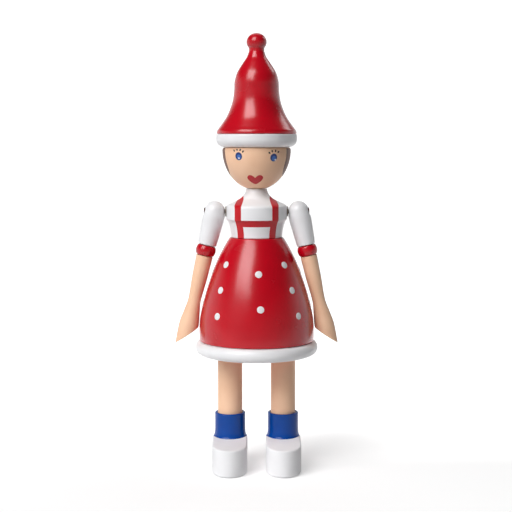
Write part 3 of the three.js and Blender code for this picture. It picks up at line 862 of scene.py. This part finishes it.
def shoe_rows():
    """Rows of the shoe from the middle of its sole up to the middle of its top, both edges rounded."""
    edge, top = SHOE_TOP_EDGE, SHOE_HEIGHT - SHOE_TOP_EDGE
    rows = [[(0, 0, 0)]]
    for inset, height in arc(-SOLE_EDGE, SOLE_EDGE, SOLE_EDGE, SOLE_EDGE, -90, 0, 7):
        rows.append(shoe_row(-inset, height))
    for inset, height in arc(-edge, top, edge, edge, 0, 90, 6):
        rows.append(shoe_row(-inset, height))
    rows.append([(0, 0, SHOE_HEIGHT)])
    return rows


def make_foot(name, side):
    centre = (side * LEG_X * MM, 0, 0)
    shoe = lofted(f"shoe_{name}_painted", shoe_rows())
    shoe.location = centre
    bore = LEG_RADIUS + FIT
    sockets = []
    for radius, floor in ((bore, SOCK_BOTTOM - SOCKET_IN_SHOE), (SOCK_FOOT_RADIUS + SOCK_ROOM, SOCK_BOTTOM)):
        outline = [(0, floor), (radius, floor), (radius, SOCK_TOP), (0, SOCK_TOP)]
        socket = turned("socket_cut", outline, LIMB_FACES)
        socket.location = centre
        sockets.append(socket)
    carved(shoe, shoe_enamel, sockets, bare_beech)
    dress(shoe, shoe_enamel, "white_lacquer", "body", f"shoe_{name}")

    outline = [
        (bore, SOCK_BOTTOM),
        *outlined(FLARE_OUTLINE, SOCK_RADIUS, SOCK_FOOT_RADIUS, SOCK_BOTTOM, SOCK_BOTTOM + SOCK_FLARE_HEIGHT),
        (SOCK_RADIUS, SOCK_TOP), (bore, SOCK_TOP), (bore, SOCK_BOTTOM),
    ]
    sock = turned(f"sock_{name}_painted", eased(outline, EASE["sock"]), LIMB_FACES)
    sock.location = centre
    dress(sock, blue_enamel, "blue_lacquer", "body", f"sock_{name}")

    leg_low, leg_high = low(f"leg_{name}", Z), high(f"leg_{name}", Z)
    outline = [(0, leg_low), (LEG_RADIUS, leg_low), (LEG_RADIUS, leg_high), (0, leg_high)]
    leg = turned(f"leg_{name}_painted", eased(outline, EASE["leg"]), LIMB_FACES)
    leg.location = centre
    dress(leg, skin_enamel, "skin_lacquer", "body", f"leg_{name}")


# Arms with their shoulder fastening

def forearm_outline():
    """From the elbow down to below the hand, as radius and height."""
    points = [
        (FOREARM_RADIUS, -FOREARM_TOP),
        (WRIST_RADIUS + FOREARM_FULLNESS * (FOREARM_RADIUS - WRIST_RADIUS), -(WRIST_AT + FOREARM_TOP) / 2),
        (WRIST_RADIUS, -WRIST_AT),
        ((WRIST_RADIUS + PALM_RADIUS) / 2, -(WRIST_AT + PALM_AT) / 2),
        (PALM_RADIUS, -PALM_AT),
        (FINGER_RADIUS, -HAND_TIP - PALM_RADIUS / 2),
    ]
    return smooth(points, 14)


HAND_EDGE = 0.5
HAND_RINGS = (0.35, 0.7)  # shares of the way across the flat of the hand
SLANT_POWER = 1.5  # how soon the slant of the hand dies away up the forearm


def forearm_rows(side):
    """Turned forearm whose hand ends in a slanted flat, longer on the outer side, with its rim eased."""
    outline = forearm_outline()
    heights = [height for _, height in outline]
    slope = (HAND_TIP - HAND_HEEL) / (2 * PALM_RADIUS)
    middle = (HAND_TIP + HAND_HEEL) / 2

    def radius_at(height):
        i = min(range(len(heights) - 1), key=lambda k: abs(heights[k] + heights[k + 1] - 2 * height))
        share = (height - heights[i]) / (heights[i + 1] - heights[i])
        return outline[i][0] + share * (outline[i + 1][0] - outline[i][0])

    def slanted(reach, tilt):
        """Row on the surface that crosses the axis at a length, tilted by this slope."""
        row = []
        for step in range(LIMB_FACES):
            angle = 2 * math.pi * step / LIMB_FACES
            height = -reach
            for _ in range(25):
                height = -reach - side * tilt * radius_at(height) * math.cos(angle)
            radius = radius_at(height)
            row.append(Vector((radius * math.cos(angle), radius * math.sin(angle), height)))
        return row

    rim = slanted(middle, slope)
    centre = Vector((0, 0, -middle))
    before = slanted(middle - HAND_EDGE, slope)
    inside = [point + (centre - point).normalized() * HAND_EDGE for point in rim]
    rows = [[centre]]
    for share in HAND_RINGS:
        rows.append([centre.lerp(point, share) for point in inside])
    edge_steps = 5
    for step in range(edge_steps + 1):
        t = step / edge_steps
        rows.append([
            a * (1 - t) ** 2 + b * 2 * t * (1 - t) + c * t ** 2 for a, b, c in zip(inside, rim, before)
        ])
    steps = 40
    lowest, highest = middle - HAND_EDGE, FOREARM_TOP + HAND_EDGE
    for step in range(1, steps + 1):
        share = step / steps
        tilt = slope * max(1 - 2 * share, 0) ** SLANT_POWER
        rows.append(slanted(lowest + (highest - lowest) * share, tilt))
    ends = eased([
        (radius_at(-FOREARM_TOP - HAND_EDGE), -FOREARM_TOP - HAND_EDGE), (FOREARM_RADIUS, -FOREARM_TOP),
        (TENON_RADIUS, -FOREARM_TOP), (TENON_RADIUS, -TENON_TOP), (0, -TENON_TOP),
    ], EASE["tenon"])
    return rows + turned_rows(ends[1:], LIMB_FACES)


def make_arm(name, side):
    body = f"arm_{name}"
    pivot = Vector((side * PIVOT_X, 0, PIVOT_Z)) * MM
    shoulder = Matrix.Translation(pivot) @ Matrix.Rotation(-side * ARM_TILT, 4, "Y")
    bore = TENON_RADIUS + FIT
    bore_top = -TENON_TOP + BORE_ROOM

    outline = [
        (0, bore_top), (bore, bore_top), (bore, -SLEEVE_END),
        *smooth([
            (SLEEVE_END_RADIUS, -SLEEVE_END), (SLEEVE_FULL_RADIUS, -SLEEVE_FULL_AT), (SLEEVE_TOP_RADIUS, 0),
        ]),
        *arc(0, 0, SLEEVE_TOP_RADIUS, SLEEVE_TOP_RADIUS, 0, 90, 20)[1:-1], (0, SLEEVE_TOP_RADIUS),
    ]
    sleeve = turned(f"sleeve_{name}_painted", eased(outline, EASE["sleeve"]), LIMB_FACES)
    sleeve.matrix_world = shoulder
    outer_x = PIVOT_X + 2 * SLEEVE_FULL_RADIUS
    cutters = [
        cross_bar("screw_cut", SCREW_RADIUS + FIT, side * WASHER_INNER_X, side * SCREW_TOP_X, PIVOT_Z),
        cross_bar("recess_cut", RECESS_RADIUS, side * RECESS_FLOOR_X, side * outer_x, PIVOT_Z),
        cross_bar("face_cut", SLEEVE_FACE_RADIUS, side * WASHER_INNER_X, side * SLEEVE_FACE_X, PIVOT_Z),
    ]
    carved(sleeve, white_enamel, cutters, bare_beech)
    dress(sleeve, white_enamel, "white_lacquer", body, f"sleeve_{name}")

    cuff_middle = (CUFF_TOP + CUFF_END) / 2
    outline = [
        (bore, -CUFF_END),
        *smooth([(CUFF_END_RADIUS, -CUFF_END), (CUFF_RADIUS, -cuff_middle), (CUFF_END_RADIUS, -CUFF_TOP)]),
        (bore, -CUFF_TOP), (bore, -CUFF_END),
    ]
    cuff = turned(f"cuff_{name}_painted", eased(outline, EASE["cuff"]), LIMB_FACES)
    cuff.matrix_world = shoulder
    dress(cuff, red_enamel, "red_lacquer", body, f"cuff_{name}")

    forearm = lofted(f"forearm_{name}_painted", forearm_rows(side))
    forearm.matrix_world = shoulder
    dress(forearm, skin_enamel, "skin_lacquer", body, f"forearm_{name}")


def make_fastening(name, side):
    washer = cross_bar(
        f"washer_{name}_felt", WASHER_RADIUS, side * WASHER_INNER_X, side * WASHER_OUTER_X, SCREW_Z,
        EASE["washer"],
    )
    hole = cross_bar("screw_cut", SCREW_RADIUS + FIT, side * SCREW_TIP_X, side * PIVOT_X, SCREW_Z)
    carved(washer, wool_felt, [hole], wool_felt)
    dress(washer, wool_felt, "felt", "body", f"shoulder_washer_{name}")

    seat = SCREW_TOP_X - SCREW_HEAD_HEIGHT
    outline = [
        (0, SCREW_TIP_X), (SCREW_POINT_RADIUS, SCREW_TIP_X), (SCREW_RADIUS, SCREW_TIP_X + SCREW_POINT_LENGTH),
        (SCREW_RADIUS, seat), (SCREW_HEAD_RADIUS, seat),
        *arc(0, SCREW_TOP_X - SCREW_CROWN, SCREW_HEAD_RADIUS, SCREW_CROWN, 0, 90, 8)[:-1], (0, SCREW_TOP_X),
    ]
    screw = turned(f"screw_{name}_steel", eased(outline, EASE["screw"]), SCREW_FACES)
    outward = Matrix.Rotation(side * math.pi / 2, 4, "Y")
    screw.matrix_world = Matrix.Translation((0, 0, SCREW_Z * MM)) @ outward
    long, half = 2 * SCREW_HEAD_RADIUS, SLOT_WIDTH / 2
    rim = [(long, half), (-long, half), (-long, -half), (long, -half)]
    floor, top = SCREW_TOP_X - SLOT_DEPTH, SCREW_TOP_X + SLOT_DEPTH
    slot_rows = [[(0, 0, floor)], *([(a, b, z) for a, b in rim] for z in (floor, top)), [(0, 0, top)]]
    slot = lofted("slot_cut", slot_rows)
    slot.matrix_world = screw.matrix_world.copy()
    # the head's dark brown is partly painted shade: it stands for the shade in the sleeve's recess round it
    carved(screw, screw_steel, [slot], screw_steel)
    dress(screw, screw_steel, "bronzed_steel", "body", f"shoulder_screw_{name}")


make_hat()
make_brim()
make_head()
make_torso()
make_skirt()
make_hem()
for side_name, side_sign in SIDES.items():
    make_foot(side_name, side_sign)
    make_arm(side_name, side_sign)
    make_fastening(side_name, side_sign)
for dowel in ("hat_dowel", "neck_dowel", "waist_dowel"):
    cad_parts[dowel].data.materials.clear()
    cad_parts[dowel].data.materials.append(bare_beech)


# Studio: paper sweep, table, room, lamps and camera

PAPER_FRONT, PAPER_BACK, PAPER_TOP = -200, 2000, 480
PAPER_FRONT_HALF, PAPER_BACK_HALF = 250, 570
TABLE_HALF_WIDTH, TABLE_DROP = 2500, 1
# How far paper and table are lifted towards white at the front and at the back of a fade, and its reach
PAPER_LIFTS, PAPER_FADE = (0.4, 0.95), (0, 90)
TABLE_LIFTS, TABLE_FADE = (0.3, 0.92), (-520, -150)
ROOM_LIGHT = 0.05
WALLS_SEEN, FRONT_WALL_SEEN, CEILING_SEEN = 0.97, 0.34, 0.02
WALL_FADE = (-0.35, 0.1)  # from the front wall to the others, as a share of the way back
WALL_TOP, CEILING_EDGE = math.sin(math.radians(12)), math.sin(math.radians(24))  # above the horizon
CAMERA_PLACE = (-0.000276, -0.5521, 0.1514)  # metres
CAMERA_DIP = math.radians(5.498)
SENSOR_WIDTH, LENS = 36, 84.375


def add_rays(tree):
    """1 where a surface is seen directly, in gloss or through glass, and 0 where it only gives light."""
    rays = add_node(tree, "ShaderNodeLightPath").outputs
    mirrored = add_node(tree, "ShaderNodeMath", {
        0: rays["Is Glossy Ray"], 1: rays["Is Transmission Ray"],
    }, operation="MAXIMUM")
    return add_node(tree, "ShaderNodeMath", {
        0: rays["Is Camera Ray"], 1: mirrored.outputs[0],
    }, operation="MAXIMUM").outputs[0]


def lifted_matt(name, colour, lifts, reach):
    """Matt sheet, lit and shadowed by the lamps. Where it is seen, it is lifted towards white: less at the
    front of its fade than at the back, as in a studio that is lit at one end."""
    material, tree = new_material(name)
    place = add_node(tree, "ShaderNodeNewGeometry").outputs["Position"]
    depth = add_node(tree, "ShaderNodeSeparateXYZ", {0: place}).outputs["Y"]
    fade = add_node(tree, "ShaderNodeMapRange", {
        "Value": depth,
        "From Min": reach[0] * MM, "From Max": reach[1] * MM, "To Min": lifts[0], "To Max": lifts[1],
    })
    strength = add_node(tree, "ShaderNodeMath", {
        0: add_rays(tree), 1: fade.outputs[0],
    }, operation="MULTIPLY")
    glow = add_node(tree, "ShaderNodeEmission", {"Strength": strength.outputs[0]})
    matt = add_node(tree, "ShaderNodeBsdfDiffuse", {"Color": linear(colour)})
    both = add_node(tree, "ShaderNodeAddShader", {0: matt.outputs[0], 1: glow.outputs[0]})
    add_node(tree, "ShaderNodeOutputMaterial", {"Surface": both.outputs[0]})
    return material


def make_sweep():
    """Sheet of paper that lies under the figure and stands up behind it, on a wide table."""
    points = []
    for half, y, z in (
        (PAPER_FRONT_HALF, PAPER_FRONT, 0),
        (PAPER_BACK_HALF, PAPER_BACK, 0),
        (PAPER_BACK_HALF, PAPER_BACK, PAPER_TOP),
    ):
        points += [(-half, y, z), (half, y, z)]
    sheet = mesh_piece("paper_sweep", points, [(0, 1, 3, 2), (2, 3, 5, 4)])
    sheet.data.materials.append(lifted_matt("white_matt_paper", "#e4e4e4", PAPER_LIFTS, PAPER_FADE))
    half = TABLE_HALF_WIDTH
    corners = [(-half, -half), (half, -half), (half, half), (-half, half)]
    table = mesh_piece("table_top", [(x, y, -TABLE_DROP) for x, y in corners], [range(4)])
    table.data.materials.append(lifted_matt("pale_matt_table", "#8e8e90", TABLE_LIFTS, TABLE_FADE))


def add_lamp(name, azimuth, elevation, distance, width, height, watts, mirrored=True):
    """Soft rectangular lamp, aimed at the middle of the figure. Its distance and size are in metres. Gloss
    may leave it out."""
    data = bpy.data.lights.new(name, "AREA")
    data.shape = "RECTANGLE"
    data.size, data.size_y = width, height
    data.energy = watts
    lamp = bpy.data.objects.new(name, data)
    bpy.context.scene.collection.objects.link(lamp)
    around, above = math.radians(azimuth), math.radians(elevation)
    away = Vector((
        math.sin(around) * math.cos(above), -math.cos(around) * math.cos(above), math.sin(above),
    ))
    lamp.location = Vector((0, 0, HAT_TOP / 2 * MM)) + distance * away
    lamp.rotation_euler = away.to_track_quat("Z", "Y").to_euler()
    lamp.visible_glossy = mirrored


def make_camera():
    data = bpy.data.cameras.new("camera")
    data.sensor_width = SENSOR_WIDTH
    data.lens = LENS
    camera = bpy.data.objects.new("camera", data)
    camera.location = CAMERA_PLACE
    camera.rotation_euler = (math.pi / 2 - CAMERA_DIP, 0, 0)
    bpy.context.scene.collection.objects.link(camera)
    bpy.context.scene.camera = camera


def make_room():
    """Room with white walls, dim at the camera's end, and a dark ceiling. It gives little light."""
    world = bpy.data.worlds.new("pale_room")
    world.use_nodes = True
    tree = world.node_tree
    tree.nodes.clear()
    direction = add_node(tree, "ShaderNodeTexCoord").outputs["Generated"]
    along = add_node(tree, "ShaderNodeSeparateXYZ", {0: direction}).outputs
    walls = add_node(tree, "ShaderNodeMapRange", {
        "Value": along["Y"], "From Min": WALL_FADE[0], "From Max": WALL_FADE[1],
        "To Min": FRONT_WALL_SEEN, "To Max": WALLS_SEEN,
    })
    room_seen = add_node(tree, "ShaderNodeMapRange", {
        "Value": along["Z"],
        "From Min": WALL_TOP, "From Max": CEILING_EDGE,
        "To Min": walls.outputs[0], "To Max": CEILING_SEEN,
    })
    strength = add_node(tree, "ShaderNodeMath", {
        0: add_rays(tree), 1: room_seen.outputs[0], 2: ROOM_LIGHT,
    }, operation="MULTIPLY_ADD")
    room = add_node(tree, "ShaderNodeBackground", {
        "Color": linear("#ffffff"), "Strength": strength.outputs[0],
    })
    add_node(tree, "ShaderNodeOutputWorld", {"Surface": room.outputs[0]})
    bpy.context.scene.world = world


make_sweep()
add_lamp("key_softbox", azimuth=-36, elevation=44, distance=1.8, width=1.1, height=1.1, watts=28.4)
add_lamp("rear_softbox", azimuth=180, elevation=52, distance=0.9, width=0.6, height=0.6, watts=0.9)
add_lamp("side_card", azimuth=130, elevation=37, distance=0.9, width=0.26, height=0.3, watts=0.7)
add_lamp("low_fill", azimuth=-50, elevation=14, distance=1.8, width=1.2, height=1.2, watts=7, mirrored=False)
make_camera()
make_room()
bpy.context.scene.view_settings.view_transform = "Standard"
